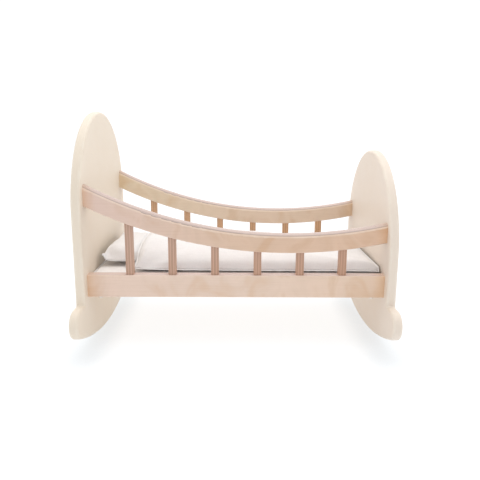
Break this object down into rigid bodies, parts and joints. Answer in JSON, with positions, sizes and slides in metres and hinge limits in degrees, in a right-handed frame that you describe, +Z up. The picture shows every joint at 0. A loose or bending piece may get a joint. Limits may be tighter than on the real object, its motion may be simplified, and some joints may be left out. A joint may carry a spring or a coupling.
{
  "type": "rocking cradle",
  "caption": "Small wooden rocking cradle with round-topped end panels on rocker feet, curved slatted sides, mattress, pillow and duvet.",
  "frame": {"origin": "on the floor, under the middle of the bed, midway between the end panels", "axes": "+X from the head end to the foot end, +Y to the back, +Z up"},
  "size_m": [0.5, 0.4, 0.376],
  "materials": {
    "painted_board": "matt cream paint",
    "birch_ply_rail": "satin clear lacquer over birch plywood",
    "birch_ply_slat": "satin clear lacquer over cut plywood edges",
    "base_ply": "raw sanded birch plywood",
    "beech_dowel": "fluted beech",
    "zinc_steel": "bright zinc plate",
    "mattress_cotton": "plain woven natural cotton",
    "bedding_cotton": "plain woven off-white cotton"
  },
  "bodies": {
    "frame": {"headboard": "painted_board", "footboard": "painted_board", "top_rail_front": "birch_ply_rail", "bottom_rail_front": "birch_ply_rail", "top_rail_back": "birch_ply_rail", "bottom_rail_back": "birch_ply_rail", "slat_front_1": "birch_ply_slat", "slat_front_2": "birch_ply_slat", "slat_front_3": "birch_ply_slat", "slat_front_4": "birch_ply_slat", "slat_front_5": "birch_ply_slat", "slat_front_6": "birch_ply_slat", "slat_back_1": "birch_ply_slat", "slat_back_2": "birch_ply_slat", "slat_back_3": "birch_ply_slat", "slat_back_4": "birch_ply_slat", "slat_back_5": "birch_ply_slat", "slat_back_6": "birch_ply_slat", "bed_board": "base_ply", "cleat_front": "base_ply", "cleat_back": "base_ply", "slat_dowels_front": "beech_dowel", "slat_dowels_back": "beech_dowel", "rail_dowels_head": "beech_dowel", "rail_dowels_foot": "beech_dowel", "rail_bolts_head": "zinc_steel", "barrel_nuts_head": "zinc_steel", "top_rail_screws_head": "zinc_steel", "rail_bolts_foot": "zinc_steel", "barrel_nuts_foot": "zinc_steel", "top_rail_screws_foot": "zinc_steel", "cleat_screws_front": "zinc_steel", "cleat_screws_back": "zinc_steel", "board_screws": "zinc_steel"},
    "mattress_body": {"mattress": "mattress_cotton"},
    "pillow_body": {"pillow": "bedding_cotton"},
    "duvet_body": {"duvet": "bedding_cotton"}
  },
  "joints": [
    {"name": "mattress_lift", "type": "slide", "parent": "frame", "child": "mattress_body", "axis": [0, 0, 1], "range_m": [0, 0.28]},
    {"name": "pillow_lift", "type": "slide", "parent": "mattress_body", "child": "pillow_body", "axis": [0, 0, 1], "range_m": [0, 0.26]},
    {"name": "duvet_lift", "type": "slide", "parent": "pillow_body", "child": "duvet_body", "axis": [0, 0, 1], "range_m": [0, 0.26]}
  ]
}
